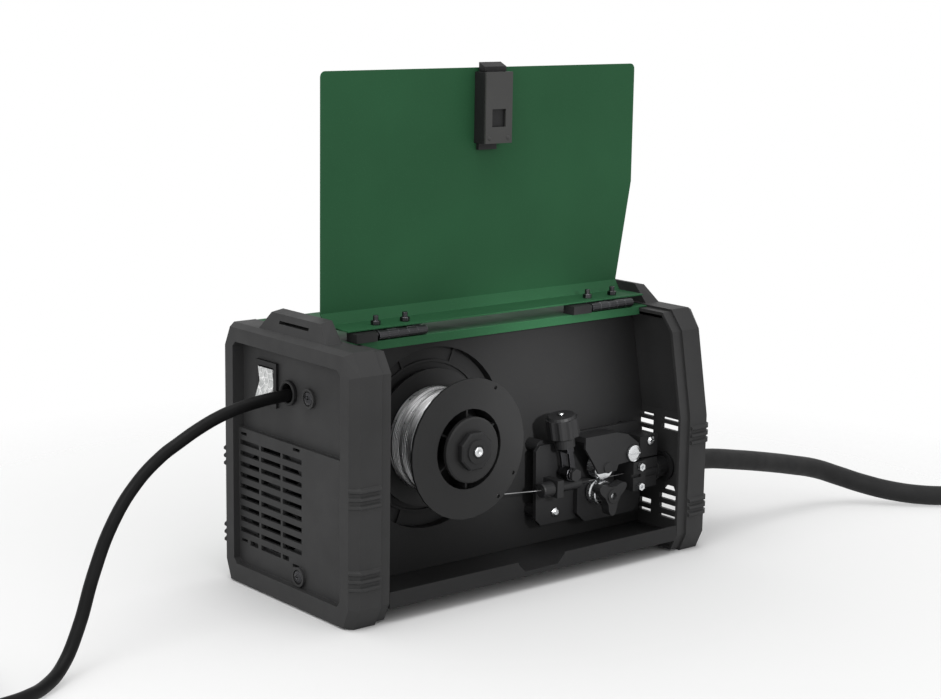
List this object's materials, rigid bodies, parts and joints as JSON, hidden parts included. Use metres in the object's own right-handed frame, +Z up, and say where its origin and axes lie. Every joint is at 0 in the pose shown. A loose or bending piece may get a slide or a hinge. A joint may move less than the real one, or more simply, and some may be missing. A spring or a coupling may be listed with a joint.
{
  "type": "mig welding machine",
  "caption": "Compact gasless wire-feed MIG welding machine with its side door open, showing the wire spool and wire feeder, with mains lead and torch.",
  "frame": {"origin": "centre of the machine's bounding box, on the floor under its end caps, without the cords", "axes": "+X towards the front panel, +Y away from the side door, +Z up"},
  "size_m": [1.532, 0.2302, 0.37],
  "materials": {
    "cap_plastic": "fine-grained charcoal moulded plastic",
    "dark_plastic": "smooth near-black moulded plastic",
    "spool_plastic": "satin black moulded plastic",
    "black_sheet": "matte black powder-coated sheet",
    "green_sheet": "satin green powder-coated sheet",
    "zinc_steel": "zinc-plated steel",
    "black_steel": "black-oxide steel",
    "aluminium": "cast and machined aluminium",
    "steel_wire": "steel flux-cored welding wire wound in neat layers",
    "brass": "machined brass",
    "rubber": "matte black rubber",
    "clear_rocker": "cloudy moulded plastic",
    "board": "green circuit board with dark parts",
    "transformer_core": "varnished core with copper winding"
  },
  "bodies": {
    "machine": {"rear_cap": "cap_plastic", "front_cap": "cap_plastic", "upper_rear_screw": "black_steel", "lower_rear_screw": "black_steel", "base_tray": "black_sheet", "divider_wall": "black_sheet", "top_cover": "green_sheet", "rear_hinge_leaf": "black_steel", "front_hinge_leaf": "black_steel", "rear_door_buffer": "rubber", "front_door_buffer": "rubber", "spool_spindle": "dark_plastic", "welding_wire": "steel_wire", "feeder_plate": "dark_plastic", "lower_plate_screw": "zinc_steel", "upper_plate_screw": "zinc_steel", "gear_housing": "dark_plastic", "feed_motor": "zinc_steel", "arm_pivot_screw": "zinc_steel", "inlet_guide": "dark_plastic", "adaptor_clamp": "dark_plastic", "upper_clamp_bolt": "zinc_steel", "lower_clamp_bolt": "zinc_steel", "torch_adaptor": "dark_plastic", "switch_bezel": "dark_plastic", "fan_frame": "dark_plastic", "heatsink": "aluminium", "inverter_board": "board", "transformer": "transformer_core", "earth_socket": "dark_plastic", "mains_gland": "dark_plastic", "mains_lead": "rubber", "mains_coil": "rubber", "mains_plug": "rubber", "torch_gland": "dark_plastic", "torch_cable": "rubber", "torch_coil": "rubber", "torch_handle": "dark_plastic", "torch_neck": "brass"},
    "side_door": {"door": "green_sheet", "rear_door_leaf": "black_steel", "front_door_leaf": "black_steel", "latch_housing": "dark_plastic", "latch_plate": "black_sheet"},
    "door_latch": {"latch_bolt": "dark_plastic"},
    "spool": {"wire_spool": "spool_plastic", "wire_winding": "steel_wire"},
    "spool_nut": {"spool_knob": "dark_plastic", "spool_cup": "spool_plastic"},
    "lower_roller": {"drive_roller": "zinc_steel"},
    "lower_roller_nut": {"roller_knob": "dark_plastic"},
    "swing_arm": {"pressure_arm": "dark_plastic"},
    "upper_roller": {"pressure_roller": "zinc_steel"},
    "tensioner": {"tension_rod": "black_steel"},
    "tension_nut": {"tension_knob": "dark_plastic"},
    "fan": {"fan_rotor": "dark_plastic"},
    "switch_rocker": {"power_rocker": "clear_rocker"},
    "left_dial": {"voltage_knob": "dark_plastic"},
    "right_dial": {"wire_speed_knob": "dark_plastic"},
    "torch_switch": {"torch_trigger": "rubber"}
  },
  "joints": [
    {"name": "door_hinge", "type": "hinge", "parent": "machine", "child": "side_door", "pos_m": [0, -0.0436, 0.1912], "axis": [1, 0, 0], "range_deg": [0, 180]},
    {"name": "latch_slide", "type": "slide", "parent": "side_door", "child": "door_latch", "axis": [0, 0, -1], "range_m": [0, 0.006], "stiffness_N_per_m": 300, "springref_m": -0.002},
    {"name": "spool_spin", "type": "hinge", "parent": "machine", "child": "spool", "pos_m": [-0.0595, -0.044, 0.1078], "axis": [0, 1, 0], "continuous": true},
    {"name": "spool_knob_turn", "type": "hinge", "parent": "machine", "child": "spool_nut", "pos_m": [-0.0595, -0.07, 0.1078], "axis": [0, 1, 0], "continuous": true},
    {"name": "drive_spin", "type": "hinge", "parent": "machine", "child": "lower_roller", "pos_m": [0.0809, -0.05, 0.05145], "axis": [0, 1, 0], "continuous": true},
    {"name": "roller_knob_turn", "type": "hinge", "parent": "lower_roller", "child": "lower_roller_nut", "pos_m": [0.0809, -0.062, 0.05145], "axis": [0, 1, 0], "continuous": true},
    {"name": "arm_lift", "type": "hinge", "parent": "machine", "child": "swing_arm", "pos_m": [0.1062, -0.05, 0.0794], "axis": [0, 1, 0], "range_deg": [0, 22]},
    {"name": "pressure_spin", "type": "hinge", "parent": "swing_arm", "child": "upper_roller", "pos_m": [0.0809, -0.05, 0.07155], "axis": [0, 1, 0], "continuous": true},
    {"name": "tension_swing", "type": "hinge", "parent": "machine", "child": "tensioner", "pos_m": [0.0495, -0.05, 0.0705], "axis": [0, -1, 0], "range_deg": [0, 40]},
    {"name": "tension_knob_turn", "type": "hinge", "parent": "tensioner", "child": "tension_nut", "pos_m": [0.04282, -0.05, 0.10486], "axis": [-0.1908, 0, 0.9816], "continuous": true},
    {"name": "fan_spin", "type": "hinge", "parent": "machine", "child": "fan", "pos_m": [-0.15, 0.023, 0.068], "axis": [1, 0, 0], "continuous": true},
    {"name": "rocker_tilt", "type": "hinge", "parent": "machine", "child": "switch_rocker", "pos_m": [-0.1609, 0.0335, 0.1496], "axis": [0, -1, 0], "range_deg": [0, 9]},
    {"name": "voltage_knob_turn", "type": "hinge", "parent": "machine", "child": "left_dial", "pos_m": [0.14534, 0.046, 0.142], "axis": [0.9842, 0, 0.1772], "range_deg": [-135, 135]},
    {"name": "wire_speed_knob_turn", "type": "hinge", "parent": "machine", "child": "right_dial", "pos_m": [0.14534, 0.01, 0.142], "axis": [0.9842, 0, 0.1772], "range_deg": [-135, 135]},
    {"name": "torch_trigger_press", "type": "slide", "parent": "machine", "child": "torch_switch", "axis": [0, -1, 0], "range_m": [0, 0.003], "stiffness_N_per_m": 400, "springref_m": -0.002}
  ],
  "couplings": [
    {"joint": "pressure_spin", "follows": "drive_spin", "ratio": -1}
  ]
}
